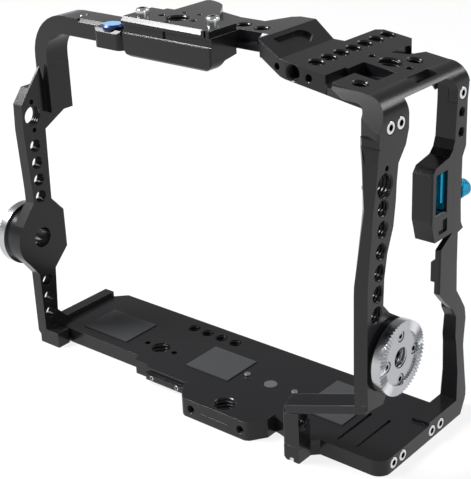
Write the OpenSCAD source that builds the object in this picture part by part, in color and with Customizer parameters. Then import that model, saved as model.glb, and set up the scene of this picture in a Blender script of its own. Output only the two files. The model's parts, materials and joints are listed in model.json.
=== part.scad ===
// Camera cage: a frame of machined aluminium pieces that a camera stands in.
// X runs from the left side to the right side, Y from the front to the back, Z is up.
// The origin lies on top of the seat pads, midway between the left and right sides.

/* [Cage] */
// Width over the two side plates
cage_w = 210; // [204:1:218]
// Height of the deck's middle above the seat pads
deck_h = 168.5; // [166:0.5:172]
// Thickness of the deck
deck_t = 7.3; // [6.5:0.1:8]
// Fall of the deck's right side, in degrees
deck_fall = 7.4; // [6:0.1:8.5]
// Drop from the deck's top to the seam between its legs and the posts
seam_drop = 26; // [25:0.5:28]
// Pitch of a row of quarter inch holes
hole_pitch = 8.75; // [8.5:0.05:9]

/* [Base] */
// Thickness of the base plate
base_t = 7.5; // [7:0.1:9]
// How far the seat pads stand above the base plate
pad_proud = 0.5; // [0.3:0.1:0.8]
// Distance of the base's front edge from the cage's middle
base_front = 28.7; // [28:0.1:29.5]
// Distance of the base's back edge from the cage's middle
base_back = 25; // [24:0.5:26]
// Height of the rod block
rod_block_t = 9.5; // [8.5:0.5:11]

/* [Side plates] */
// Thickness of the right front post
post_t = 6.5; // [6:0.1:7.5]
// Thickness of the rear post
rear_post_t = 9; // [8.5:0.1:10]
// Thickness of the left plate's inner part, which the arch's skin covers
side_t = 4.5; // [4.5:0.1:5.5]
// How far the left plate stands out past the arch
plate_proud = 1.5; // [1:0.1:2]
// Height of the rosettes above the seat pads
rosette_h = 49.8; // [48:0.1:51]
// Distance of the rosettes in front of the cage's middle
rosette_front = 24.1; // [23.5:0.1:24.6]
// Diameter of a rosette
rosette_d = 31.8; // [30:0.1:33]
// Thickness of a rosette's rim
rosette_t = 3.5; // [3:0.1:4]
// Number of teeth on a rosette
rosette_teeth = 60; // [48, 60, 72]

/* [Threads] */
// Radius of a quarter inch hole
quarter_r = 3.175; // [3:0.005:3.3]
// Radius of a three eighths inch hole
three_eighths_r = 4.7625; // [4.6:0.0005:4.9]
// Distance of an anti twist hole from its three eighths inch hole
twist_gap = 8.9; // [8.5:0.1:9.2]
// Radius of an anti twist hole
twist_r = 1.5; // [1.2:0.1:1.7]
// Width of the chamfer at the mouth of a hole
mouth = 0.6; // [0.3:0.1:0.8]

/* [Cable clamp] */
// Width of the clamp's body
clamp_w = 9.5; // [9.5:0.5:11]
// Radius of the clamp screw's shank
clamp_screw_r = 1.5; // [1.4:0.1:1.6]
// Travel of the jaw
jaw_travel = 3.5; // [2.5:0.1:3.8]
// Radius of the clamp screw's head
clamp_head_r = 3.8; // [3.4:0.1:4.2]

/* [Arm] */
// Depth of the arch, from front to back
arch_depth = 13.6; // [13:0.1:15]
// Thickness of the arch
arch_t = 8; // [7.5:0.1:9]
// Radius of the thumb disc
disc_r = 5; // [4.5:0.1:5.5]

/* [Fits] */
// Gap round a piece that turns or slides
running_gap = 0.08; // [0.05:0.01:0.1]
// Gap round a screw in its hole
screw_gap = 0.25; // [0.2:0.05:0.35]

/* [Hidden] */
$fn = 48;
right_x = cage_w / 2;
left_x = -cage_w / 2;
left_out = left_x - plate_proud;
seam_h = deck_h - seam_drop;
base_top = -pad_proud;
base_low = base_top - base_t;
slack = 1;

// A flat outline in Y and Z, made thick along X.
module across(x, t) translate([x, 0, 0]) rotate([90, 0, 90]) linear_extrude(t) children();

// A flat outline in X and Z, made thick along Y.
module along(y, t) translate([0, y + t, 0]) rotate([90, 0, 0]) linear_extrude(t) children();

// A flat outline in X and Y, made thick along Z.
module up(z, t) translate([0, 0, z]) linear_extrude(t) children();

// Turns a shape that stands along Z so that it points along the given direction.
module aim(at, way) translate(at) rotate(
    way == "+x" ? [0, 90, 0] : way == "-x" ? [0, -90, 0] :
    way == "+y" ? [-90, 0, 0] : way == "-y" ? [90, 0, 0] :
    way == "-z" ? [180, 0, 0] : [0, 0, 0]) children();

// A threaded hole that is drilled into a face. The way points out of the face.
module drill(at, way, r, depth, rim = mouth) aim(at, way) {
    translate([0, 0, -depth]) cylinder(r = r, h = depth + slack);
    translate([0, 0, -rim]) cylinder(r1 = r, r2 = r + rim + 0.01, h = rim + 0.01);
}

// A socket head screw. Its head's top lies at the given point and its shank goes down from there.
module screw(at, way, r, head_r, head_h, length, key_r) aim(at, way) difference() {
    union() {
        translate([0, 0, -head_h]) cylinder(r = head_r, h = head_h);
        translate([0, 0, -length]) cylinder(r = r, h = length - head_h + 0.1);
    }
    translate([0, 0, -head_h * 0.6]) cylinder(r = key_r, h = head_h, $fn = 6);
}

// The seat that such a screw needs, with its gap.
module screw_seat(at, way, r, head_r, head_h, length) aim(at, way) {
    translate([0, 0, -head_h]) cylinder(r = head_r + screw_gap, h = head_h + slack);
    translate([0, 0, -length - screw_gap]) cylinder(r = r + screw_gap, h = length);
}
// The deck: its flat middle, the shoulder, and the right side that falls outwards.
flat_end = right_x - 68;
shoulder_end = right_x - 55;
shoulder_drop = 5.5;
function deck_z(x) = deck_h - shoulder_drop - (x - shoulder_end) * tan(deck_fall);
deck_front = -22;
deck_back = 42;
deck_left = -30;
wall_front = -13;
bend_r = 10;
inner_r = 7;
leg_in = right_x - 9.8;
rear_leg_in = right_x - 9.4;
leg_front = -33;
leg_back = 31;
lap_h = 7;
lap_x = right_x - 4.5;
lap_front = -30;
window_front = -13;
window_back = 23;
window_top = deck_h - 14.7;
flank_top = deck_h - 14.3;
flank_r = 4;
row_x = right_x - 43.3;
row_front = -12.9;
row_pitch = 8.45;
cheese_x = right_x - 24;
cheese_y = 10.5;
side_hole_x = right_x - 18.6;
edge_hole_x = right_x - 48.3;
edge_hole_drop = 3.65;

module deck_outline() polygon([
    [deck_left, deck_h], [flat_end, deck_h], [shoulder_end, deck_z(shoulder_end)],
    [right_x - bend_r * 1.05, deck_z(right_x - bend_r)],
    for (a = [84:-7:0]) [right_x - bend_r + bend_r * cos(a),
        deck_z(right_x - bend_r) - bend_r * 0.93 * (1 - sin(a))],
    [right_x, seam_h], [leg_in, seam_h],
    for (a = [0:15:75]) [leg_in - inner_r + inner_r * cos(a),
        deck_z(leg_in) - deck_t - inner_r + inner_r * sin(a)],
    [shoulder_end, deck_z(shoulder_end) - deck_t], [flat_end + 2, deck_h - deck_t],
    [deck_left, deck_h - deck_t]
]);

module deck_plan() polygon([
    [deck_left, wall_front], [right_x - 72, wall_front], [right_x - 67, -19],
    [shoulder_end + 3, deck_front], [row_x + 11, deck_front], [row_x + 15, deck_front - 4],
    [right_x, leg_front - 0.5], [right_x, leg_back + 1.5], [right_x - 28, leg_back + 1.5],
    [right_x - 34, deck_back], [right_x - 48, deck_back], [right_x - 50.5, deck_back - 3],
    [right_x - 50.5, 16.5], [right_x - 55, 15], [right_x - 68, 20.5], [right_x - 76, 20.5],
    [right_x - 79, 18], [right_x - 84, 6], [8, 6], [-4, 9], [-11, 12], [-15, 12], [-15, 1],
    [deck_left, 1]
]);

// A hole that is drilled square to the sloping side, through the deck.
module slope_drill(x, y, r, rim = mouth) translate([x, y, deck_z(x)]) rotate([0, deck_fall, 0])
    drill([0, 0, 0], "+z", r, 12, rim);

module top_frame() color("#26272a") difference() {
    intersection() {
        along(-45, 100) deck_outline();
        up(seam_h - 1, 60) deck_plan();
        across(deck_left - 1, cage_w) polygon([
            [leg_front, seam_h], [leg_front, seam_h + 3], [-26, deck_z(right_x) + 1.8],
            [-26, deck_h + slack], [60, deck_h + slack], [60, seam_h + 7],
            [leg_back + 1, seam_h + 7], [leg_back, seam_h]
        ]);
    }
    // The side window between the two legs
    across(rear_leg_in - 4, 30) polygon([
        [window_front, seam_h - slack], [window_front, window_top], [window_back - 6, window_top],
        [window_back - 1.5, window_top - 1.5], [window_back, window_top - 6],
        [window_back, seam_h - slack]
    ]);
    // The hollow under the flank that joins the deck to the front leg
    along(-40, 40 + deck_front) polygon([
        [right_x - 32, seam_h - slack], [right_x - 32, flank_top + 0.2],
        for (a = [90:-15:0]) [leg_in - flank_r + flank_r * cos(a),
            flank_top - 0.4 - flank_r + flank_r * sin(a)],
        [leg_in, seam_h - slack]
    ]);
    // The inner halves of the legs leave room for the posts' tongues
    translate([leg_in - slack, lap_front, seam_h - slack])
        cube([lap_x - leg_in + slack, leg_back + 3 - lap_front, lap_h + slack]);
    // Rows of holes
    for (i = [0:6]) slope_drill(row_x, row_front + i * row_pitch, quarter_r);
    for (p = middle_hole_at) drill([p[0], p[1], deck_h], "+z", quarter_r, 12);
    for (y = [20.2, -18.5]) slope_drill(side_hole_x, y, quarter_r);
    slope_drill(cheese_x, cheese_y, three_eighths_r);
    for (s = [-1, 1]) slope_drill(cheese_x + s * twist_gap, cheese_y, twist_r, 0.3);
    // Holes in the front edge
    drill([edge_hole_x, deck_front, deck_z(edge_hole_x) - edge_hole_drop], "-y", quarter_r, 5.2, 0.3);
    for (x = [edge_hole_x - 8.4, edge_hole_x + 7.7])
        drill([x, deck_front, deck_z(x) - edge_hole_drop], "-y", twist_r, 4.5, 0.3);
    // The pocket beside the wide hole, and the channel that runs from it to the front
    translate([right_x - 31, -11, deck_z(right_x - 31) - 5.2]) cube([15, 13, 10]);
    translate([right_x - 32.5, -30, deck_z(right_x - 31) - 3.2]) cube([6, 21, 10]);
    // The slot at the start of the bend, and the wedge at the back
    translate([right_x - 10, 0, seam_h]) cube([5, 15, 30]);
    up(deck_z(right_x - 27) - 2.5, 10) polygon([
        [right_x - 30, 20], [right_x - 24, 24], [right_x - 21, 33], [right_x - 30, 33]
    ]);
    // The window in the shoulder
    translate([flat_end, 0, deck_h]) rotate([0, atan2(shoulder_drop, shoulder_end - flat_end), 0])
        translate([2.6, 0, -1.6]) linear_extrude(10) {
            translate([4.2, 4]) circle(r = 4.2);
            translate([0, -12]) square([8.4, 16]);
        }
    // The long chamfer along the middle's front edge
    translate([block_right - 0.1, wall_front, deck_h - 2.4]) rotate([45, 0, 0]) cube([15, 6, 6]);
    translate([block_right - 0.1, wall_front - 1, deck_h - 4.6]) cube([12, 3.6, 10]);
    // Seats of the cap's, the block's and the post screws
    for (p = post_screw_at) if (p[2] > seam_h)
        screw_seat([right_x, p[1], p[2]], "+x", 1.5, 2.6, 2.4, 8.5);
    for (x = bar_deck_screw_x) translate([x, bar_screw_y, deck_h - deck_t - slack])
        cylinder(r = 1.5 + screw_gap, h = 5 + slack);
}
middle_hole_at = [[right_x - 87.6, -3.4], [right_x - 77.4, -4.2]];

// The block in front of the deck, and the plate on it.
block_front = -29.5;
block_left = -28;
block_right = 21;
block_low = deck_h - 14.1;
cap_t = 3;
cap_h = deck_h + cap_t;
cap_front = block_front - 0.5;
cap_chamfer = 1.8;
cap_screw_at = [[-23.8, -20.8], [11.4, -16.1]];
cheese_cap = [-5.6, -18.8];
corner_r = 4;

module bridge_block() color("#26272a") difference() {
    across(block_left, block_right - block_left) polygon([
        [block_front, block_low + 1], [block_front + 1, block_low], [-23.5, block_low],
        [-20.5, block_low + 3.2], [wall_front, block_low + 4.4], [wall_front, deck_h],
        [block_front + 1, deck_h], [block_front + 1, deck_h - 4], [block_front, deck_h - 5.5]
    ]);
    // Rounded lower corners of the front
    for (s = [0, 1]) translate([s ? block_right : block_left, 0, block_low]) mirror([s, 0, 0])
        translate([0, block_front - slack, 0]) difference() {
            translate([-slack, 0, -slack]) cube([corner_r + slack, 30, corner_r + slack]);
            translate([corner_r, -slack, corner_r]) rotate([-90, 0, 0]) cylinder(r = corner_r, h = 40);
        }
    for (p = cap_screw_at) translate([p[0], p[1], deck_h - 7]) cylinder(r = 1.5 + screw_gap, h = 10);
    translate([cheese_cap[0], cheese_cap[1], deck_h - 6]) cylinder(r = three_eighths_r, h = 10);
    // The bevel on the front's right edge, and the notch in its upper band
    translate([block_right, block_front, block_low - slack]) rotate(45)
        translate([-0.6, -0.6, 0]) cube([1.2, 1.2, 20]);
    translate([-5.5, block_front - slack, deck_h - 3.8]) cube([1.6, 2.8, 3.2]);
}

module bridge_cap() color("#2b2c2f") difference() {
    up(deck_h, cap_t) polygon([
        [block_left, cap_front], [block_right, cap_front], [block_right, -12.5], [11, -12.5],
        [-3.3, 7.4], [-5.5, 10], [-9, 12], [-13, 13.4], [-15.8, 13.8], [-17, 12.6],
        [-17, -10.6], [block_left, -10.6]
    ]);
    // The bright chamfer along the front, and the groove past its end
    translate([block_left - slack, cap_front, cap_h - cap_chamfer]) rotate([45, 0, 0])
        cube([block_right - block_left + slack - 4.2, 5, 5]);
    translate([block_right - 2.6, cap_front - slack, deck_h - slack]) cube([1.1, 2.2, 10]);
    drill([cheese_cap[0], cheese_cap[1], cap_h], "+z", three_eighths_r, 9);
    for (s = [-1, 1]) drill([cheese_cap[0] + s * twist_gap, cheese_cap[1], cap_h], "+z", twist_r, 9, 0.3);
    for (p = [[-4.7, -26], [-9.2, -10.3], [-1.5, -9.5]]) drill([p[0], p[1], cap_h], "+z", 1.1, 9, 0.3);
    for (p = cap_screw_at) translate([p[0], p[1], deck_h - 1]) cylinder(r = 1.5 + screw_gap, h = 10);
}

module cap_screws() color("#d0d2d4") for (p = cap_screw_at) translate([p[0], p[1], cap_h]) difference() {
    union() {
        rotate_extrude() polygon([[0, 0], [2.9, 0], [2.9, 1.3], [2.4, 2.1], [1.6, 2.5], [0, 2.5]]);
        translate([0, 0, -9]) cylinder(r = 1.5, h = 9.1);
    }
    translate([0, 0, 1]) cylinder(r = 1.2, h = 4, $fn = 6);
}

// The arch over the left side. Its leg stands on the left plate.
arch_top = deck_h - deck_t;
arch_front = wall_front;
arch_foot = deck_h - 42.5;
arch_seam = left_x + 26;
bar_t = 8.8;
bar_lap = 14;
bar_screw_y = -6;
bar_deck_screw_x = [deck_left + 4, deck_left + 10];
arch_r = 22;
lug_h = 6;

module arch_arm() color("#26272a") difference() {
    along(arch_front, arch_depth) polygon([
        [left_x, arch_foot], [left_x + arch_t, arch_foot],
        for (a = [0:10:90]) [left_x + arch_t + 13 - 13 * cos(a), arch_top - bar_t - 13 + 13 * sin(a)],
        [arch_seam, arch_top - bar_t], [arch_seam, arch_top - bar_t / 2],
        [arch_seam + lug_h, arch_top - bar_t / 2], [arch_seam + lug_h, arch_top],
        for (a = [90:-10:0]) [left_x + arch_r - arch_r * cos(a), arch_top - arch_r + arch_r * sin(a)]
    ]);
    screw_seat([arch_seam + lug_h / 2, arch_front + arch_depth / 2, arch_top], "+z", 1.2, 2, 2, 7.5);
    // The seat of the side plate's tongue
    for (y = arch_screw_y) screw_seat([left_x, y, arch_foot + 4.5], "-x", 1.5, 2.6, 2, 7.5);
    translate([arch_skin, arch_front - slack, arch_foot - slack])
        cube([arch_t, arch_depth + 2, tongue_h + slack]);
}
arch_screw_y = [-10, -3];
arch_skin = left_x + 3.5;
tongue_h = 9;

module arm_bar() color("#26272a") difference() {
    translate([arch_seam, arch_front, arch_top - bar_t])
        cube([deck_left + bar_lap - arch_seam, arch_depth, bar_t]);
    translate([arch_seam - slack, arch_front - slack, arch_top - bar_t / 2])
        cube([lug_h + slack, arch_depth + 2, bar_t]);
    translate([arch_seam + lug_h / 2, arch_front + arch_depth / 2, arch_top - 7.5 - screw_gap])
        cylinder(r = 1.2 + screw_gap, h = 10);
    for (x = bar_deck_screw_x) screw_seat([x, bar_screw_y, arch_top - bar_t], "-z", 1.5, 2.6, 2.4, 13);
    for (x = knob_screw_x) screw_seat([x, arch_front + arch_depth, arch_top - bar_t / 2],
        "+y", 1.2, 2, 2, arch_depth + 6);
    // The chamfer along the front
    translate([arch_seam - slack, arch_front, arch_top - 1.6]) rotate([45, 0, 0]) cube([60, 5, 5]);
    disc_pocket();
}

// The block on the bar's front, with its thumb disc.
knob_left = -56;
knob_right = -39;
knob_front = -20.5;
knob_at = [-47.5, -16];
disc_t = 0.9;
pin_r = 1.5;
disc_hub_r = disc_r - 0.8;
knob_screw_x = [knob_left + 3, knob_right - 3];

// The counterbore that the disc's hub turns in, partly in the bar and partly in the block
module disc_pocket() translate([knob_at[0], knob_at[1], arch_top - 3])
    cylinder(r = disc_hub_r + running_gap, h = 10);

module knob_block() color("#26272a") difference() {
    up(arch_top - bar_t, bar_t) polygon([
        [knob_left, arch_front], [knob_left, knob_front + 3],
        for (a = [0:15:90]) [knob_left + 3 - 3 * cos(a), knob_front + 3 - 3 * sin(a)],
        for (a = [90:-15:0]) [knob_right - 3 + 3 * cos(a), knob_front + 3 - 3 * sin(a)],
        [knob_right, arch_front]
    ]);
    // The chamfer along the front
    translate([knob_left - slack, knob_front, arch_top - 1.4]) rotate([45, 0, 0]) cube([20, 4, 4]);
    // The disc's counterbore and the pin's hole
    disc_pocket();
    translate([knob_at[0], knob_at[1], arch_top - bar_t - slack]) cylinder(r = pin_r, h = 20);
    for (x = knob_screw_x) translate([x, arch_front - 5, arch_top - bar_t / 2])
        rotate([-90, 0, 0]) cylinder(r = 1.2 + screw_gap, h = 10);
}

module knob_pin() color("#d0d2d4") translate([knob_at[0], knob_at[1], arch_top - bar_t])
    cylinder(r = pin_r, h = bar_t - 0.4);

module arm_knob() color("#7fb6dc") translate([knob_at[0], knob_at[1], 0]) difference() {
    union() {
        translate([0, 0, arch_top + 0.15]) cylinder(r = disc_r, h = disc_t + 0.8);
        translate([0, 0, arch_top - 2.9]) cylinder(r = disc_hub_r, h = 3.1);
    }
    translate([0, 0, arch_top - 4]) cylinder(r = pin_r + running_gap, h = 3.8);
    // The bevelled blue face
    translate([0, 0, arch_top + disc_t + 0.55]) cylinder(r = disc_r - 1.2, h = 1);
}

module arm_screws() color("#d0d2d4") {
    screw([arch_seam + lug_h / 2, arch_front + arch_depth / 2, arch_top], "+z", 1.2, 2, 2, 7.5, 1);
    for (x = bar_deck_screw_x) screw([x, bar_screw_y, arch_top - bar_t], "-z", 1.5, 2.6, 2.4, 13, 1.25);
    for (x = knob_screw_x) screw([x, arch_front + arch_depth, arch_top - bar_t / 2], "+y",
        1.2, 2, 2, arch_depth + 4.5, 1);
    for (y = arch_screw_y) screw([left_x, y, arch_foot + 4.5], "-x", 1.5, 2.6, 2, 7.5, 1.25);
}

// A toothed rosette whose face points along +X.
rosette_r = rosette_d / 2;
rosette_bore = 4.5;
rosette_pcd = 9.7;
teeth_in = 11.6;
tooth_h = 1;
// Each groove is a right-angled V. Its floor runs out from the rosette's middle and falls, so that
// the grooves stay side by side although they get wider, and a thin crest is left between them.
groove_fall = atan(PI / rosette_teeth);
crest = 0.06;
module rosette() difference() {
    union() {
        cylinder(r = rosette_r, h = rosette_t);
        difference() {
            cylinder(r = rosette_r, h = rosette_t + tooth_h);
            translate([0, 0, -slack]) cylinder(r = teeth_in, h = 10);
            for (i = [0:rosette_teeth - 1]) rotate(i * 360 / rosette_teeth)
                translate([0, 0, rosette_t + tooth_h + crest]) rotate([0, groove_fall, 0])
                    translate([teeth_in - 2, 0, 0]) rotate([90, 0, 90]) linear_extrude(8)
                        polygon([[0, 0], [1.4, 1.4], [-1.4, 1.4]]);
        }
    }
    translate([0, 0, -slack]) cylinder(r = rosette_bore, h = 20);
    for (a = [0:90:270]) rotate(a) translate([rosette_pcd, 0, 0]) {
        translate([0, 0, -slack]) cylinder(r = 1.25 + screw_gap, h = 10);
        translate([0, 0, rosette_t - 1.7]) cylinder(r = 2.2 + screw_gap, h = 10);
    }
}
module rosette_screws() for (a = [0:90:270]) rotate(a) translate([rosette_pcd, 0, rosette_t - 0.2])
    difference() {
        union() {
            translate([0, 0, -1.5]) cylinder(r = 2.2, h = 1.5);
            translate([0, 0, -8]) cylinder(r = 1.25, h = 7);
        }
        translate([0, 0, -0.9]) cylinder(r = 1, h = 2, $fn = 6);
    }
bore_step = 0.6;
module rosette_holes() {
    cylinder(r = rosette_bore + bore_step, h = 60, center = true);
    for (a = [0:90:270]) rotate(a) translate([rosette_pcd, 0, -6]) cylinder(r = 1.25 + screw_gap, h = 20);
}
module at_rosette(side) translate([side * rosette_x(side), -rosette_front, rosette_h])
    rotate([0, side * 90, 0]) rotate(side > 0 ? 0 : 180) children();
right_seat = 1.5;
left_seat = 6;
function rosette_x(side) = cage_w / 2 + (side > 0 ? right_seat : left_seat);

module right_rosette() color("#c9cbcd") at_rosette(1) rosette();
module right_rosette_screws() color("#8f9296") at_rosette(1) rosette_screws();
module left_rosette() color("#c9cbcd") at_rosette(-1) rosette();
module left_rosette_screws() color("#8f9296") at_rosette(-1) rosette_screws();

// The left plate, from the arch down to the base.
plate_front = -27.4;
plate_screw_z = base_low + base_t / 2;
plate_hole_top = arch_foot - 13.7;
plate_screw_y = [-15, -5, 5, 15];
module left_plate() color("#26272a") difference() {
    union() {
        across(left_out, side_t + plate_proud) polygon([
            [-28.2, arch_foot - 7], [-15, arch_foot + 9], [arch_front, arch_foot],
            [arch_front + arch_depth, arch_foot], [arch_front + arch_depth, arch_foot - 14],
            [-15, arch_foot - 22], [-16, 68], [-9, 60], [-9, 40], [-18, 31], [-19.5, 8], [-14, 2],
            [20, 2], [20, base_low], [-22, base_low], [-26.6, base_low + 1.5],
            [-28.6, base_low + 6], [-28.6, 31], [-36, 41], [-39, 50], [-36, 59],
            [plate_front, 69], [plate_front, 75], [-28.2, arch_foot - 32], [-28.8, arch_foot - 20]
        ]);
        // The foot that turns in to the base
        translate([left_x, -28.6, base_low]) cube([13, 7.4, base_t + 0.5]);
        // The tongue under the arch
        translate([left_x + side_t - slack, arch_front, arch_foot - 14])
            cube([arch_t - side_t + slack, arch_depth, 14]);
        translate([arch_skin, arch_front, arch_foot - 8])
            cube([arch_t - 3.5, arch_depth, 8 + tongue_h]);
        // The round boss behind the rosette
        translate([0, -rosette_front, rosette_h]) rotate([0, -90, 0]) {
            translate([0, 0, -left_x - side_t]) cylinder(r = 15, h = side_t + plate_proud);
            translate([0, 0, -left_x - 0.1]) cylinder(r = 14.5, h = left_seat + 0.1);
        }
    }
    at_rosette(-1) rosette_holes();
    translate([left_out - slack, arch_front - 30, arch_foot]) cube([arch_skin - left_out + slack, 60, 20]);
    drill([left_out, -22.2, plate_hole_top], "-x", three_eighths_r, 9);
    for (s = [-1, 1]) drill([left_out, -22, plate_hole_top + s * 7], "-x", 1.2, 9, 0.3);
    for (i = [0:3]) drill([left_out, -22.4, plate_hole_top - 15 - i * hole_pitch], "-x", quarter_r, 9);
    for (i = [0:2]) drill([left_out, -24.1, 26 - i * hole_pitch], "-x", quarter_r, 9);
    for (y = arch_screw_y) translate([left_x, y, arch_foot + 4.5]) rotate([0, 90, 0])
        cylinder(r = 1.5 + screw_gap, h = 7.5 + screw_gap);
    for (y = plate_screw_y) screw_seat([left_out, y, plate_screw_z], "-x", 1.5, 2.6, 2.4, 13);
    // The foot is rounded at its front corner
    translate([left_out, -28.6, base_low]) rotate([0, 45, 0]) cube([2.4, 60, 2.4], center = true);
}
module plate_screws() color("#d0d2d4")
    for (y = plate_screw_y) screw([left_out, y, plate_screw_z], "-x", 1.5, 2.6, 2.4, 13, 1.25);

// The right front post, and the slanted arm and the foot that carry it.
arm_front = -40;
arm_depth = 6;
arm_slope = 19;
arm_low = 14.5;
arm_face = 3.8;
arm_back_face = 6.6;
foot_left = right_x - 43.3;
foot_right = right_x - 35.3;
foot_back = -31.5;
foot_mid = (foot_left + foot_right) / 2;
foot_screw_y = [-37.8, -33.2];
post_screw_at = [[0, -25.4, seam_h + 3.4], [0, -18.3, seam_h + 3.4], [0, 27.3, seam_h + 3.4]];
post_hole_top = seam_h - 27.2;
post_hole_y = [-30.2, -30.3, -31.3, -32.2, -33.3, -34.1];
arm_end = right_x - post_t;

// The stretch of the slanted arm between two places in X. Its top falls to the front.
module slanted_arm(from, to) intersection() {
    translate([foot_left - 4, 0, arm_low - 4 * tan(arm_slope)]) rotate([0, -arm_slope, 0])
        across(0, 60) polygon([
            [arm_front, 0], [arm_front, arm_face], [arm_front + arm_depth, arm_back_face],
            [arm_front + arm_depth, 0]
        ]);
    translate([from, arm_front - 5, 0]) cube([to - from, 20, 60]);
}

module right_front_post() color("#26272a") difference() {
    union() {
        intersection() {
            across(leg_in, right_x - leg_in) polygon([
                [leg_front, seam_h], [-35, seam_h - 17], [-37, seam_h - 27], [-38, seam_h - 37],
                [-40, seam_h - 52], [-40.5, seam_h - 62], [-40.5, 45.5], [-39.8, 30.5], [-29, 29],
                [-27, 32], [-14, 38], [-9, 45], [-9, 55], [-16, 63], [-25, 69], [-29.5, 74],
                [-29, seam_h - 57], [-27, seam_h - 47], [-23, seam_h - 37], [-21.5, seam_h - 27],
                [-21, seam_h - 19], [-20, seam_h - 12], [-15, seam_h - 6], [window_front, seam_h]
            ]);
            // It is thick at its upper end, where it meets the deck's leg
            along(-45, 40) polygon([
                [leg_in, seam_h], [leg_in, seam_h - 4.5], [right_x - 7.8, seam_h - 11],
                [right_x - 7.2, seam_h - 15], [right_x - 6.5, seam_h - 21],
                [right_x - 5.9, seam_h - 33], [right_x - 6.1, seam_h - 45],
                [right_x - post_t, seam_h - 58], [right_x - post_t, 28], [right_x, 28],
                [right_x, seam_h]
            ]);
        }
        // The tongue inside the deck's leg
        translate([leg_in, lap_front, seam_h - 0.1])
            cube([lap_x - leg_in, window_front - lap_front, lap_h + 0.1]);
        // The end of the slanted arm
        slanted_arm(arm_end, right_x - 1);
        // The boss behind the rosette
        at_rosette(1) translate([0, 0, -right_seat - post_t])
            cylinder(r = rosette_r - 0.5, h = right_seat + post_t);
    }
    at_rosette(1) rosette_holes();
    for (i = [0:5]) drill([right_x, post_hole_y[i], post_hole_top - i * hole_pitch], "+x", quarter_r, 9);
    drill([right_x, -29, seam_h - 18.6], "+x", three_eighths_r, 12);
    for (s = [-1, 1]) drill([right_x, -29 + s * 1.2, seam_h - 18.6 + s * 6.6], "+x", 1.1, 3, 0.3);
    for (p = post_screw_at) if (p[1] < 0)
        translate([leg_in + 0.2, p[1], p[2]]) rotate([0, 90, 0]) cylinder(r = 1.5 + screw_gap, h = 20);
    // The bevel on the inner front edge, which fades out downwards
    translate([right_x - 7, -34.2, seam_h - 27]) rotate([0, 0, 45]) {
        translate([-10, -15, 0]) cube([10, 30, 28]);
        rotate([0, 7.3, 0]) translate([-10, -15, -40]) cube([10, 30, 40.1]);
    }
    // The facet under the seam
    translate([right_x - 4.3, -34.2, seam_h - 10.1]) rotate([-13.7, 0, 0]) rotate([90, 0, 0])
        linear_extrude(4) polygon([[-1.2, 0], [1.2, 0], [2.9, 1.7], [4.5, 7.4], [-4.6, 7.4]]);
}
// The arm under the post and the foot that it stands on
module front_arm() color("#26272a") difference() {
    union() {
        slanted_arm(foot_left + 0.6, arm_end);
        translate([foot_left, arm_front, base_top])
            cube([foot_right - foot_left, foot_back - arm_front, arm_low + 2.6 - base_top]);
    }
    drill([foot_left, -35.5, 11.5], "-x", quarter_r, 20);
    aim([foot_right, -35.5, 11.5], "+x") translate([0, 0, -1]) cylinder(r = quarter_r + 1, h = 3);
    for (y = foot_screw_y) translate([foot_mid, y, base_top - slack]) cylinder(r = 1.25 + screw_gap, h = 5);
}
module foot_screws() color("#d0d2d4")
    for (y = foot_screw_y) screw([foot_mid, y, base_low], "-z", 1.25, 2.2, 1.8, base_t + 3.5, 1);

module post_screws() color("#d0d2d4") for (p = post_screw_at)
    screw([right_x, p[1], p[2]], "+x", 1.5, 2.6, 2.4, 8.2, 1.25);

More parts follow.
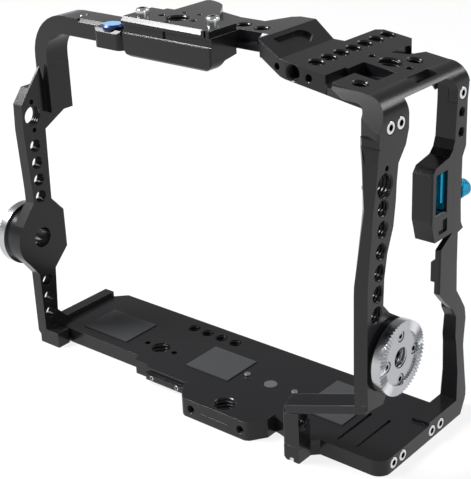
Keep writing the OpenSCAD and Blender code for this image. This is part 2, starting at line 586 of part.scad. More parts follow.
// The rear post, with the rail that runs forward along the base.
rail_t = 4;
rail_screw_y = [-20, -13, 10.6, 17.8];
rail_screw_z = base_low + base_t / 2;
panel_t = 2.5;
bar_top_t = 5.8;
post_back = 28.4;
clamp_low = seam_h - 55.8;
module rear_post() color("#26272a") difference() {
    union() {
        // The upper end, and the part behind the clamp
        across(rear_leg_in, right_x - rear_leg_in) polygon([
            [22.8, seam_h], [clamp_back, seam_h - 15], [clamp_back, seam_h - 24],
            [28.5, seam_h - 24], [leg_back, seam_h - 20], [leg_back, seam_h]
        ]);
        across(right_x - rear_post_t, rear_post_t) polygon([
            [clamp_back, seam_h - 23], [clamp_back, clamp_low - 1.5], [26, clamp_low - 1.8],
            [31, clamp_low - 0.8], [29.1, clamp_low + 2.3], [post_back, clamp_low + 10.5],
            [post_back, seam_h - 24], [28.5, seam_h - 23]
        ]);
        translate([rear_leg_in, 22.8, seam_h - 0.1]) cube([lap_x - rear_leg_in, 8.2, lap_h + 0.1]);
        // The thin panel under the clamp, with the small block on its inner face
        across(right_x - panel_t, panel_t) polygon([
            [22.4, clamp_low], [13, clamp_low - 5.2], [12.8, clamp_low - 25.3],
            [17.3, clamp_low - 30.3], [24.8, clamp_low - 37.1], [30, clamp_low - 37.1],
            [27.6, clamp_low - 29.1], [27, clamp_low - 16.2], [26.8, clamp_low]
        ]);
        translate([right_x - 6, 15.5, clamp_low - 21.5]) cube([5, 4.5, 9]);
        // The lower bar, which gets thicker towards its foot
        intersection() {
            across(right_x - rear_post_t, rear_post_t) polygon([
                [24.8, clamp_low - 37.1], [28.1, clamp_low - 42.3], [28, 35], [29, 30.5], [31, 15.5],
                [31, 0], [39, 0], [39, 3.5], [37, 15.5], [35.2, 27.3], [35.4, 31.7], [36.4, 40.8],
                [35.3, clamp_low - 40.4], [31.4, clamp_low - 34.4], [27.6, clamp_low - 29.1],
                [27, clamp_low - 26], [24.8, clamp_low - 26]
            ]);
            along(0, 60) polygon([
                [right_x - rear_post_t, base_low], [right_x - bar_top_t, 50],
                [right_x - bar_top_t, 90], [right_x, 90], [right_x, base_low]
            ]);
        }
        // The foot and the rail
        across(right_x - rear_post_t, rear_post_t) polygon([
            [8, 1], [7.5, base_low], [35, base_low], [38.5, -1.5], [39, 1]
        ]);
        translate([right_x - rail_t, 6 - base_front, base_low]) cube([rail_t, 36, base_t]);
    }
    for (p = post_screw_at) if (p[1] > 0)
        translate([rear_leg_in + 0.5, p[1], p[2]]) rotate([0, 90, 0]) cylinder(r = 1.5 + screw_gap, h = 20);
    for (z = [seam_h - 4.5, seam_h - 13]) drill([right_x, 26.8, z], "+x", 2.1, 7, 0.3);
    for (y = rail_screw_y) screw_seat([right_x, y, rail_screw_z], "+x", 1.5, 2.6, 2.4, 12);
    for (z = clamp_bolt_z) screw_seat([clamp_x, post_back, z], "+y", 1.5, 2.6, 2.4, 12.4);
    translate([clamp_x, 0, clamp_z]) rotate([-90, 0, 0]) cylinder(r = clamp_screw_r + running_gap, h = 50);
    // The bevels along the panel's front and top edges
    translate([right_x, 12.8, clamp_low - 15]) rotate([0, 0, 45]) cube([1.2, 1.2, 20.4], center = true);
}

// The cable clamp in front of the rear post: a body, a jaw and the screw that pulls the jaw.
clamp_front = 5.2;
clamp_back = 22;
clamp_z = clamp_low + 14.2;
clamp_x = right_x - clamp_w / 2;
win_front = 8.2;
win_back = 17;
win_low = clamp_low + 11.6;
win_high = clamp_low + 29.5;
jaw_t = 2.2;
jaw_w = 7.2;
jaw_inset = 1.3;
jaw_front = win_back - 0.2 - jaw_t;
jaw_low = win_low + 0.5;
jaw_high = win_high - 0.6;
jaw_foot_h = 3.2;
jaw_foot_t = 1.1;
clamp_bolt_z = [clamp_low + 5.3, clamp_low + 32];
edge_bevel = 0.8;

module clamp_body() color("#26272a") difference() {
    across(right_x - clamp_w, clamp_w) polygon([
        [clamp_front, clamp_low + 9.8], [clamp_front + 3, clamp_low], [clamp_back, clamp_low],
        [clamp_back, seam_h - 15], [20.5, clamp_low + 36.8], [17.7, clamp_low + 34.3],
        [clamp_front + 2.4, clamp_low + 32.6], [clamp_front, clamp_low + 29.8]
    ]);
    // The window that the cable lies in, and the chamfer on its lower edge
    translate([right_x - clamp_w - slack, win_front, win_low])
        cube([clamp_w + 2 * slack, win_back - win_front, win_high - win_low]);
    along(win_front, win_back - win_front) polygon([
        [right_x - edge_bevel, win_low + 0.1], [right_x - edge_bevel, win_low],
        [right_x, win_low - edge_bevel], [right_x + slack, win_low - edge_bevel],
        [right_x + slack, win_low + 0.1]
    ]);
    // The bevel on the front's outer edge
    translate([right_x, clamp_front, clamp_low]) rotate([0, 0, 45])
        cube([edge_bevel * sqrt(2), edge_bevel * sqrt(2), 100], center = true);
    // The small recess under the window
    translate([right_x - 1, 11, clamp_low + 2.6]) cube([2, 6.6, 5.7]);
    // The screw's hole and the bolts' holes
    translate([clamp_x, win_back - slack, clamp_z]) rotate([-90, 0, 0])
        cylinder(r = clamp_screw_r + running_gap, h = 10);
    for (z = clamp_bolt_z) aim([clamp_x, clamp_back, z], "+y") translate([0, 0, -6.2])
        cylinder(r = 1.5 + screw_gap, h = 10);
}

module clamp_jaw() color("#1e9cc4") difference() {
    translate([right_x - jaw_inset - jaw_w, jaw_front, jaw_low]) cube([jaw_w, jaw_t, jaw_high - jaw_low]);
    // The bevels on the nose's top edge and on its outer edge
    translate([right_x - jaw_inset - jaw_w - slack, jaw_front, jaw_high]) rotate([45, 0, 0])
        translate([0, -edge_bevel, -edge_bevel]) cube([jaw_w + 2 * slack, 2 * edge_bevel, 2 * edge_bevel]);
    translate([right_x - jaw_inset, jaw_front, jaw_low]) rotate([0, 0, 45])
        cube([edge_bevel, edge_bevel, 60], center = true);
    // The nose stops above the foot that the screw pushes on
    translate([right_x - jaw_inset - jaw_w - slack, jaw_front - slack, jaw_low - slack])
        cube([jaw_w + 2 * slack, jaw_t - jaw_foot_t + slack, jaw_foot_h + slack]);
    // The socket of the screw's tip
    translate([clamp_x, socket_y, clamp_z]) rotate([-90, 0, 0])
        cylinder(r = clamp_screw_r + running_gap, h = 10);
}
socket_y = jaw_front + jaw_t - 0.7;

clamp_head_y = post_back + jaw_travel + 0.4;
clamp_head_l = 6.6;
module clamp_screw() color("#1e9cc4") translate([clamp_x, 0, clamp_z]) rotate([-90, 0, 0]) {
    translate([0, 0, socket_y + 0.1])
        cylinder(r = clamp_screw_r, h = clamp_head_y - socket_y);
    difference() {
        translate([0, 0, clamp_head_y]) rotate_extrude() polygon([
            [0, 0], [clamp_head_r - 0.5, 0], [clamp_head_r, 0.5], [clamp_head_r, clamp_head_l - 1.4],
            [clamp_head_r - 0.9, clamp_head_l - 0.4], [clamp_head_r - 2, clamp_head_l], [0, clamp_head_l]
        ]);
        for (a = [0:22.5:337.5]) rotate(a) translate([clamp_head_r + 0.2, 0, clamp_head_y - slack])
            rotate(45) cube([0.6, 0.6, 20]);
    }
}

module clamp_body_screws() color("#d0d2d4") for (z = clamp_bolt_z)
    screw([clamp_x, post_back, z], "+y", 1.5, 2.6, 2.4, 12, 1.25);

// The base plate with its tab under the foot.
base_left = left_x + side_t;
tab_front = -40;
pad_t = 1.5;
pad_gap = 0.1;
pad_at = [[left_x + 17, -14, 30, 22], [-18, -14, 26, 22], [right_x - 55, -14, 24, 30]];
cam_screw_x = right_x - 79;
cam_screw_y = -4;
module base_outline() polygon([
    [base_left, -20], [-44, -20], [-42, -24], [rod_left, -24], [rod_left, -25], [right_x - 65, -25],
    [right_x - 57, -26], [foot_left - 3.5, -base_front], [foot_left - 1, foot_back],
    [foot_left, tab_front], [foot_right, tab_front], [foot_right, foot_back],
    [foot_right + 3, -base_front],
    [right_x - 6, -base_front],
    for (a = [80:-10:0]) [right_x - 6 + 6 * cos(a), -base_front + 6 - 6 * sin(a)],
    [right_x, 6 - base_front], [right_x - rail_t, 6 - base_front], [right_x - rail_t, 7.5],
    [right_x - rear_post_t, 7.5], [right_x - rear_post_t, base_back],
    [base_left + 6, base_back], [base_left, base_back - 6]
]);
module base_plate() color("#26272a") difference() {
    up(base_low, base_t) base_outline();
    for (p = pad_at) translate([p[0] - pad_gap, p[1] - pad_gap, base_top - pad_t + pad_proud])
        cube([p[2] + 2 * pad_gap, p[3] + 2 * pad_gap, 5]);
    // The camera screw's stepped hole
    translate([cam_screw_x, cam_screw_y, base_low - slack]) cylinder(r = 8.2, h = slack + 5.2);
    translate([cam_screw_x, cam_screw_y, base_low]) cylinder(r = 3.4, h = 20);
    translate([cam_screw_x, cam_screw_y, base_low - slack]) cylinder(r = 9.6, h = slack + 1.4);
    // A row of quarter inch holes and a three eighths inch hole with its anti twist holes
    for (i = [0:3]) drill([-40 + i * 9, 17, base_low], "-z", quarter_r, 20);
    drill([-40, -8, base_low], "-z", three_eighths_r, 20);
    for (s = [-1, 1]) drill([-40 + s * twist_gap, -8, base_low], "-z", twist_r, 20, 0.3);
    for (y = foot_screw_y) screw_seat([foot_mid, y, base_low], "-z", 1.25, 2.2, 1.8, base_t + 5);
    for (y = plate_screw_y) translate([left_out, y, plate_screw_z]) rotate([0, 90, 0])
        cylinder(r = 1.5 + screw_gap, h = 13 + screw_gap);
    for (y = rail_screw_y) translate([right_x, y, rail_screw_z]) rotate([0, -90, 0])
        cylinder(r = 1.5 + screw_gap, h = 12.5);
    for (p = rod_screw_at) translate([p[0], -25 - slack, p[1]]) rotate([-90, 0, 0])
        cylinder(r = 1.5 + screw_gap, h = 7 + slack);
    for (x = step_screw_x) translate([x, -24 - slack, step_screw_z]) rotate([-90, 0, 0])
        cylinder(r = 0.9 + screw_gap, h = 6.5 + slack);
    // The tab's lower left edge is bevelled
    translate([foot_left, tab_front, base_low]) rotate([0, 45, 0]) cube([1.8, 12, 1.8], center = true);
    // The recess lines on the top
    for (x = [right_x - 27, right_x - 17]) translate([x, -24, base_top - 1.2]) cube([1.4, 26, 5]);
}
module edge_screws() color("#d0d2d4") for (y = rail_screw_y)
    screw([right_x, y, rail_screw_z], "+x", 1.5, 2.6, 2.4, 12, 1.25);

// The accessory block on the base's front, and the stepped plate beside it.
rod_left = -4.5;
rod_right = 46;
rod_front = -39.5;
rod_top = base_low + rod_block_t;
rod_screw_at = [[5, plate_screw_z], [36, plate_screw_z]];
rod_hole = [22, -32.3];
module rod_block() color("#26272a") difference() {
    up(base_low, rod_block_t) polygon([
        [rod_left, -25], [rod_left, -31], [rod_left + 6, rod_front + 1], [rod_left + 8, rod_front],
        [rod_right - 7, rod_front], [rod_right - 5, rod_front + 1], [rod_right, -31.5], [rod_right, -25.8], [40, -25]
    ]);
    drill([rod_hole[0], rod_hole[1], rod_top], "+z", three_eighths_r, 20);
    for (x = [7.5, 36.5]) drill([x, rod_front, base_low + 4.6], "-y", 2, 9, 0.3);
    for (p = rod_screw_at) translate([p[0], slack - 25, p[1]]) rotate([90, 0, 0])
        cylinder(r = 1.5 + screw_gap, h = 5.5 + slack);
    // The generic line between the two front holes
    translate([14, rod_front - slack, base_low + 4.4]) cube([16, slack + 0.3, 0.5]);
}
module rod_block_screws() color("#d0d2d4") for (p = rod_screw_at) aim([p[0], -30, p[1]], "-y")
    translate([0, 0, -11.5]) cylinder(r = 1.5, h = 11);

step_screw_x = [-28, -12];
step_screw_z = base_low + 3.5;
step_front = -28;
module step_plate() color("#26272a") difference() {
    union() {
        up(base_low + 2, 3) polygon([[-34, -24], [-31.5, step_front], [rod_left, step_front], [rod_left, -24]]);
        up(base_low + 5, base_t - 5) polygon([[-34, -24], [-32.5, -26], [rod_left, -26], [rod_left, -24]]);
    }
    for (x = step_screw_x) screw_seat([x, step_front, step_screw_z], "-y", 0.9, 1.2, 1, 10);
}
module step_screws() color("#d0d2d4") for (x = step_screw_x)
    screw([x, step_front, step_screw_z], "-y", 0.9, 1.2, 1, 9.5, 0.7);

module seat_pads() color("#3a3b3e") for (p = pad_at)
    translate([p[0], p[1], base_top - pad_t + pad_proud]) cube([p[2], p[3], pad_t]);

module camera_screw() color("#c9cbcd") translate([cam_screw_x, cam_screw_y, base_low]) difference() {
    union() {
        translate([0, 0, 1.5]) cylinder(r = 8, h = 2.6);
        translate([0, 0, 4]) cylinder(r = quarter_r, h = base_t - 4);
    }
    translate([-6, -0.75, 1]) cube([12, 1.5, 1.7]);
    for (a = [0:15:345]) rotate(a) translate([8.1, 0, 0]) cylinder(r = 0.35, h = 9, $fn = 6);
}
module screw_clip() color("#8f9296") translate([cam_screw_x, cam_screw_y, base_low + 0.1]) difference() {
    cylinder(r = 9.5, h = 1.1);
    translate([0, 0, -slack]) cylinder(r = 7, h = 5);
    translate([0, -1.5, -slack]) cube([20, 3, 5]);
}
module locating_pins() color("#c9cbcd") for (x = [cam_screw_x - 14, cam_screw_x + 14])
    translate([x, cam_screw_y, base_top]) cylinder(r = 1.5, h = 1);

top_frame();
bridge_block();
bridge_cap();
cap_screws();
arch_arm();
arm_bar();
arm_screws();
knob_block();
knob_pin();
arm_knob();
left_plate();
left_rosette();
left_rosette_screws();
right_front_post();
front_arm();
right_rosette();
right_rosette_screws();
post_screws();
rear_post();
clamp_body();
clamp_jaw();
clamp_screw();
clamp_body_screws();
base_plate();
edge_screws();
foot_screws();
plate_screws();
rod_block();
rod_block_screws();
step_plate();
step_screws();
seat_pads();
camera_screw();
screw_clip();
locating_pins();
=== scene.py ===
"""Looks of a machined camera cage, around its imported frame."""

import json
import math

import bmesh
import bpy
import numpy as np
from bpy.props import FloatProperty, FloatVectorProperty, IntProperty, PointerProperty
from mathutils import Matrix, Vector


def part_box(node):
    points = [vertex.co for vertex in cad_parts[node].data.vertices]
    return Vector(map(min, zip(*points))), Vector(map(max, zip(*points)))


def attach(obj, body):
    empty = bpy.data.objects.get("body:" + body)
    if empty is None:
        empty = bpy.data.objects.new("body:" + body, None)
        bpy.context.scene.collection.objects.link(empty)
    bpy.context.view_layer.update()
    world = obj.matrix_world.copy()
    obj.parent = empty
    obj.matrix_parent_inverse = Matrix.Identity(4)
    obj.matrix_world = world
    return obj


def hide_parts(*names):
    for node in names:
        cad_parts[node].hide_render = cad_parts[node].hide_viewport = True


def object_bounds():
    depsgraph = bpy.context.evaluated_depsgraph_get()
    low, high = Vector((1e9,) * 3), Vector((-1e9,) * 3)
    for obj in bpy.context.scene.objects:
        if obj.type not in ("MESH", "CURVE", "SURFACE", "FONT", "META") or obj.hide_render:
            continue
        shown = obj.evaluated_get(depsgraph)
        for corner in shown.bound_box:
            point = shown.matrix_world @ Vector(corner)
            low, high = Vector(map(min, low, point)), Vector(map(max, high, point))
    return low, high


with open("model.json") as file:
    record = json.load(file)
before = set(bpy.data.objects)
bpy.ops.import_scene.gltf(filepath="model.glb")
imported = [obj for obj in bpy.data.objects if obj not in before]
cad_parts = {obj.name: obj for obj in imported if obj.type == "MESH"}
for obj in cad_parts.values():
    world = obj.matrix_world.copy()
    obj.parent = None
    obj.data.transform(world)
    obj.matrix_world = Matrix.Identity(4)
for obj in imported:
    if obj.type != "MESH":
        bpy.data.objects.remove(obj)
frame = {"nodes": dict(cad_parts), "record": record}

bl_info = {
    "name": "Camera cage finishes",
    "version": (1, 0, 0),
    "blender": (4, 5, 0),
    "location": "View3D > Sidebar > Cage",
    "description": "Finishes, threads and knurling of a camera cage, with its stage",
    "category": "Object",
}

MM = 0.001
CAD_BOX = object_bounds()
RECORD = frame["record"]

# Points of a CAD mesh that lie closer than this are one point.
MERGE_GAP = 2e-6
# Points whose heights differ by less than this lie in one plane.
SAME_PLANE = 2e-5
# Points whose radii or ends differ by less than this belong to one ring of a turned piece.
SAME_RING = 1e-5
# Faces that turn by less than this are parts of one flat.
FLAT_DEG = 0.6
# Edges that turn by more than this get a chamfer.
CHAMFER_DEG = 28
# How far the block's sloping lip rises to become a ledge.
LEDGE_LIFT = 1.45 * MM
# The disc's bevel and the rounding under its rim.
DISC_BEVEL = 0.8 * MM
DISC_UNDERCUT = 0.15 * MM
# The thumb screw's chamfer, and how far its shank reaches into its head.
HEAD_CHAMFER = 0.7 * MM
SHANK_SINK = 0.2 * MM
# How far a thread's ridge reaches into its wall, and half its width as a share of the pitch.
THREAD_BITE = 0.03 * MM
RIDGE_HALF = 0.42


def linear(text):
    """Turns an sRGB hex colour such as #1d1e20 into linear red, green and blue."""
    values = [int(text[i : i + 2], 16) / 255 for i in (1, 3, 5)]
    return [v / 12.92 if v <= 0.04045 else ((v + 0.055) / 1.055) ** 2.4 for v in values]


def colour(name, description, text):
    """A colour property whose default is the hex colour."""
    return FloatVectorProperty(
        name=name, description=description, subtype="COLOR", size=3, min=0, max=1, default=linear(text)
    )


def length(name, description, default_mm, low=0.0, high=1.0):
    """A length property whose default is given in millimetres."""
    return FloatProperty(
        name=name, description=description, subtype="DISTANCE", unit="LENGTH",
        precision=5, min=low, max=high, default=default_mm * MM,
    )


class CageSizes(bpy.types.PropertyGroup):
    edge_break: length("Edge break", "Width of the tumbled chamfer on machined edges", 0.3)
    screw_rim: length("Screw rim", "Width of the rounding round a screw's head", 0.3)
    screw_break: length("Screw edge break", "Width of the rounding on screw heads", 0.15)
    quarter_pitch: length("Quarter inch pitch", "Pitch of a quarter inch thread", 1.27)
    wide_pitch: length("Three eighths pitch", "Pitch of a three eighths inch thread", 1.5875)
    small_pitch: length("Small pitch", "Pitch of a four millimetre thread", 0.7)
    thread_depth: length("Thread depth", "Height of a thread's ridge", 0.55)
    grain: length("Blasting grain", "Size of the bead blasted grain, drawn coarse enough to show", 0.5)
    knurl_depth: length("Knurl depth", "Depth of the diamond knurling", 0.35)
    knurl_turns: IntProperty(
        name="Knurl count", description="Diamonds round the thumb screw", default=26, min=8)


class CageColours(bpy.types.PropertyGroup):
    black: colour("Black anodising", "Dyed black aluminium", "#131315")
    # The paler black on the tumbled edges is a painted highlight.
    rubbed: colour("Painted edge highlight", "Paler black painted on machined edges as a highlight", "#232427")
    silver: colour("Clear anodising", "Undyed aluminium", "#b4b6b9")
    steel: colour("Nickel plating", "Plated steel screws", "#d9dadb")
    dull: colour("Stainless steel", "Plain stainless steel", "#a9abad")
    # Dark steel painted inside the hexagon sockets as painted shade.
    socket: colour("Socket shade", "The inside of a hexagon socket", "#2c2d2f")
    cyan: colour("Cyan anodising", "Dyed cyan aluminium", "#1790b8")
    blue: colour("Blue anodising", "Dyed light blue aluminium", "#78a9d8")
    # A darker copy of the disc's blue, painted as shade on its bevel, rim and underside.
    blue_shade: colour("Blue painted shade", "Deep blue painted as shade on the disc's bevel, rim and underside", "#0b2350")
    pad: colour("Pad rubber", "Silicone pads", "#26272a")
    floor: colour("Floor", "Studio floor under its own soft light", "#545454")


def node(tree, kind, settings=None, links=None):
    """Adds one shader node, sets its inputs or attributes, and links its inputs."""
    made = tree.nodes.new(kind)
    for key, value in (settings or {}).items():
        if key in made.inputs:
            made.inputs[key].default_value = value
        else:
            setattr(made, key, value)
    for key, source in (links or {}).items():
        tree.links.new(source, made.inputs[key])
    return made


def blank_material(name):
    """A new node material, its node tree and its principled shader."""
    material = bpy.data.materials.new(name)
    material.use_nodes = True
    tree = material.node_tree
    tree.nodes.clear()
    shader = node(tree, "ShaderNodeBsdfPrincipled")
    node(tree, "ShaderNodeOutputMaterial", links={"Surface": shader.outputs["BSDF"]})
    return material, tree, shader


def grained(name, rgb, metallic, rough, grain, bump, spread=0.06, tone=0.1, bright=0.5):
    """A metal whose blasted grain shifts its colour, its roughness and its surface a little.

    The grain is noise on Object coordinates, one cell per grain width. A second noise of about
    40 mm gives the slow change that handling and dye leave.
    """
    material, tree, shader = blank_material(name)
    place = node(tree, "ShaderNodeTexCoord")
    fine = node(tree, "ShaderNodeTexNoise", {"Scale": 1 / grain, "Detail": 3, "Roughness": 0.6},
                {"Vector": place.outputs["Object"]})
    slow = node(tree, "ShaderNodeTexNoise", {"Scale": 1 / 0.04, "Detail": 2, "Roughness": 0.5},
                {"Vector": place.outputs["Object"]})
    both = node(tree, "ShaderNodeMix", {"data_type": "FLOAT", "Factor": 0.4},
                {"A": fine.outputs["Fac"], "B": slow.outputs["Fac"]})
    shade = node(tree, "ShaderNodeMix", {"data_type": "RGBA"}, {"Factor": both.outputs[0]})
    shade.inputs[6].default_value = [max(0, c * (1 - tone)) for c in rgb] + [1]
    shade.inputs[7].default_value = [min(1, c * (1 + tone)) for c in rgb] + [1]
    tree.links.new(shade.outputs[2], shader.inputs["Base Color"])
    shader.inputs["Specular IOR Level"].default_value = bright
    polish = node(tree, "ShaderNodeMapRange", {"To Min": rough - spread, "To Max": rough + spread},
                  {"Value": both.outputs[0]})
    tree.links.new(polish.outputs["Result"], shader.inputs["Roughness"])
    relief = node(tree, "ShaderNodeBump", {"Strength": bump, "Distance": grain * 0.2},
                  {"Height": fine.outputs["Fac"]})
    tree.links.new(relief.outputs["Normal"], shader.inputs["Normal"])
    shader.inputs["Metallic"].default_value = metallic
    return material


MATERIALS = {}


def make_materials(sizes, colours):
    """Makes each finish once. The keys are the record's material slots."""
    # Bead blasted aluminium under a dyed black oxide: dark, with a soft sheen.
    MATERIALS["black_anodised_aluminium"] = grained(
        "bead blasted black anodised aluminium", colours.black, 0.0, 0.21, sizes.grain, 0.03,
        spread=0.03, bright=0.3)
    # The same oxide where tumbling and handling have polished an edge: a little smoother, and painted a
    # little paler as a painted highlight.
    MATERIALS["rubbed_edge"] = grained(
        "black anodised aluminium with painted edge highlights", colours.rubbed, 0.0, 0.2, sizes.grain, 0.03,
        spread=0.03, bright=0.4)
    # Undyed oxide over machined aluminium: mid grey, with bright and dark bands where it turns away.
    MATERIALS["silver_aluminium"] = grained(
        "turned clear anodised aluminium", colours.silver, 1.0, 0.24, sizes.grain * 0.5, 0.05)
    # Nickel over turned steel: bright, with narrow reflections.
    MATERIALS["bright_steel"] = grained(
        "nickel plated steel", colours.steel, 1.0, 0.2, sizes.grain * 0.5, 0.1)
    # Plain stainless steel, as it comes from the header: greyer and duller.
    MATERIALS["dull_steel"] = grained(
        "plain stainless steel", colours.dull, 1.0, 0.3, sizes.grain * 0.5, 0.1)
    # Dyed oxide over turned aluminium: the cyan one saturated and metallic, the blue one pale and soft.
    MATERIALS["cyan_anodised_aluminium"] = grained(
        "cyan anodised aluminium", colours.cyan, 0.9, 0.25, sizes.grain * 0.5, 0.05)
    MATERIALS["blue_anodised_aluminium"] = grained(
        "light blue anodised aluminium", colours.blue, 0.35, 0.3, sizes.grain * 0.5, 0.05)
    # The inside of a socket, painted as dark steel: painted shade.
    MATERIALS["socket"] = grained(
        "steel socket with painted shade", colours.socket, 1.0, 0.35, sizes.grain * 0.5, 0.1)
    # The disc's bevel, rim and underside, painted deep blue as painted shade.
    MATERIALS["blue_bevel"] = grained(
        "blue anodised aluminium with painted shade", colours.blue_shade, 0.3, 0.3, sizes.grain * 0.5, 0.05)
    # Moulded silicone: dark and matt.
    MATERIALS["rubber_pad"] = grained(
        "moulded silicone rubber", colours.pad, 0.0, 0.75, sizes.grain, 0.4)


def mesh_object(name, vertices, faces):
    """A new smooth object from an array of points and a list of faces."""
    mesh = bpy.data.meshes.new(name)
    mesh.from_pydata(np.asarray(vertices, float).tolist(), [], [list(map(int, f)) for f in faces])
    mesh.update()
    mesh.polygons.foreach_set("use_smooth", [True] * len(mesh.polygons))
    made = bpy.data.objects.new(name, mesh)
    bpy.context.scene.collection.objects.link(made)
    return made


def tidy_copy(cad_name):
    """A merged copy of a CAD node's mesh, with its flat faces joined, ready for a bevel."""
    source = frame["nodes"][cad_name]
    shape = bmesh.new()
    shape.from_mesh(source.data)
    bmesh.ops.remove_doubles(shape, verts=shape.verts, dist=MERGE_GAP)
    bmesh.ops.dissolve_limit(
        shape, angle_limit=math.radians(FLAT_DEG), use_dissolve_boundaries=False,
        verts=shape.verts, edges=shape.edges,
    )
    mesh = bpy.data.meshes.new(cad_name + "_finished")
    shape.to_mesh(mesh)
    shape.free()
    made = bpy.data.objects.new(cad_name + "_finished", mesh)
    bpy.context.scene.collection.objects.link(made)
    return made


def broken_edges(piece, width, edge_material, clamp):
    """Gives a piece the small rounded edges that tumbling leaves, with a material of their own; on black
    pieces it is a paler black, a painted highlight.

    The material is a slot number, and -1 keeps the material of the faces beside the edge.
    """
    piece.data.polygons.foreach_set("use_smooth", [True] * len(piece.data.polygons))
    bevel = piece.modifiers.new("edge break", "BEVEL")
    bevel.width = width
    bevel.segments = 2
    bevel.limit_method = "ANGLE"
    bevel.angle_limit = math.radians(CHAMFER_DEG)
    bevel.use_clamp_overlap = clamp
    bevel.material = edge_material
    bevel.miter_outer = "MITER_ARC"
    flat = piece.modifiers.new("flat faces", "WEIGHTED_NORMAL")
    flat.mode = "FACE_AREA"
    flat.weight = 100
    flat.keep_sharp = True


def body_of_node(cad_name):
    """The body that a CAD node belongs to."""
    for body, names in RECORD["behaviour"]["bodies"].items():
        if cad_name in names:
            return body
    raise ValueError(f"no body holds {cad_name}")


def slot_of_node(cad_name):
    """The record's material slot of a CAD node."""
    return next(s["material_slot"] for s in RECORD["subparts"] if s["node"] == cad_name)


# Pieces whose holes come so near a face that a clamped chamfer would shrink to nothing.
CROWDED = ("front_arm",)
# Pieces whose shallow breaks between flats stay crisp.
CRISP = (
    "top_frame", "bridge_block", "bridge_cap", "clamp_body", "rod_block", "front_arm", "left_plate",
    "base_plate")


def crisp_breaks(piece, least_angle=12, least_area=20):
    """Marks the edges between large flats that turn by more than a few degrees as sharp."""
    shape = bmesh.new()
    shape.from_mesh(piece.data)
    for edge in shape.edges:
        beside = edge.link_faces
        if len(beside) == 2 and min(f.calc_area() for f in beside) > least_area * MM * MM:
            edge.smooth = edge.calc_face_angle() < math.radians(least_angle)
    shape.to_mesh(piece.data)
    shape.free()


def squared_ledge(piece, lift):
    """Lifts the front edge of the block's sloping lip until the lip is a square ledge."""
    points = np.array([corner.co for corner in piece.data.vertices])
    front = points[:, 1] < points[:, 1].min() + SAME_PLANE
    lip = front & (points[:, 2] > points[front][:, 2].max() - SAME_PLANE)
    points[lip, 2] += lift
    piece.data.vertices.foreach_set("co", points.ravel())
    piece.data.update()


def dress(cad_name, width):
    """Replaces a CAD node by its copy with broken edges and its finish."""
    slot = slot_of_node(cad_name)
    black = slot == "black_anodised_aluminium"
    piece = tidy_copy(cad_name)
    if cad_name == "bridge_block":
        squared_ledge(piece, LEDGE_LIFT)
    if cad_name in CRISP:
        crisp_breaks(piece)
    # Black pieces give their edge faces the paler black of the painted edge highlight.
    broken_edges(piece, width, edge_material=1 if black else -1, clamp=cad_name not in CROWDED)
    piece.data.materials.clear()
    piece.data.materials.append(MATERIALS[slot])
    if black:
        piece.data.materials.append(MATERIALS["rubbed_edge"])
    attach(piece, body_of_node(cad_name))
    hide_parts(cad_name)


def paint(cad_name):
    """Gives a CAD node its finish and keeps its own mesh."""
    solid = frame["nodes"][cad_name]
    solid.data.materials.clear()
    solid.data.materials.append(MATERIALS[slot_of_node(cad_name)])


def frame_of(axis):
    """Two directions square to an axis, and the axis, as the rows of an array."""
    along = np.array(axis, float) / np.linalg.norm(axis)
    aside = np.cross(along, [0, 0, 1] if abs(along[2]) < 0.9 else [1, 0, 0])
    aside /= np.linalg.norm(aside)
    return np.array([aside, np.cross(along, aside), along])


def thread_arrays(middle, axis, radius, pitch, depth, long, steps=20):
    """The ridge of an inner thread, as points and faces.

    The ridge is a triangle that winds along a helix: after t turns its middle lies pitch * t along
    the axis. Two of its corners lie just inside the wall at the hole's radius, and
    the third stands in from the wall by the thread's depth.
    """
    turns = max(1.0, long / pitch - 0.6)
    count = int(turns * steps)
    t = np.linspace(0, turns, count)
    side, lift, along = frame_of(axis)
    root = radius + THREAD_BITE
    ring = np.array([[root, -RIDGE_HALF], [radius - depth, 0.0], [root, RIDGE_HALF]])
    start = -long / 2 + pitch * 0.3
    angle = 2 * math.pi * t
    out = np.cos(angle)[:, None] * side + np.sin(angle)[:, None] * lift
    points = (
        np.array(middle)[None, None]
        + out[:, None] * ring[None, :, :1]
        + along * (start + pitch * (t[:, None, None] + ring[None, :, 1:]))
    )
    k = np.arange(count - 1)[:, None] * 3 + np.arange(3)[None]
    k2 = np.arange(count - 1)[:, None] * 3 + (np.arange(3)[None] + 1) % 3
    faces = np.stack([k, k2, k2 + 3, k + 3], -1).reshape(-1, 4)
    caps = [[2, 1, 0], [count * 3 - 3, count * 3 - 2, count * 3 - 1]]
    return points.reshape(-1, 3), faces, caps


def ring_quads(count, around, closed=False):
    """The quads between neighbouring rings of points. A closed set also joins its last ring to its first."""
    step = np.arange(around)
    following = (step + 1) % around
    low = np.arange(count if closed else count - 1)[:, None] * around
    high = (low + around) % (count * around)
    return np.stack([low + step, low + following, high + following, high + step], -1).reshape(-1, 4)


def ring_caps(count, around):
    """The two faces that close the first ring and the last ring of an open set."""
    return [list(range(around - 1, -1, -1)), list(range((count - 1) * around, count * around))]


def joined(name, parts):
    """One object from several arrays of points and faces, with a material mark for each face."""
    vertices, faces, marks, base = [], [], [], 0
    for points, quads, caps, *mark in parts:
        vertices.append(points)
        faces += (np.asarray(quads) + base).tolist() + [[i + base for i in c] for c in caps]
        marks += mark[0] if mark else [0] * (len(quads) + len(caps))
        base += len(points)
    made = mesh_object(name, np.vstack(vertices), faces)
    made.data.polygons.foreach_set("material_index", marks)
    return made


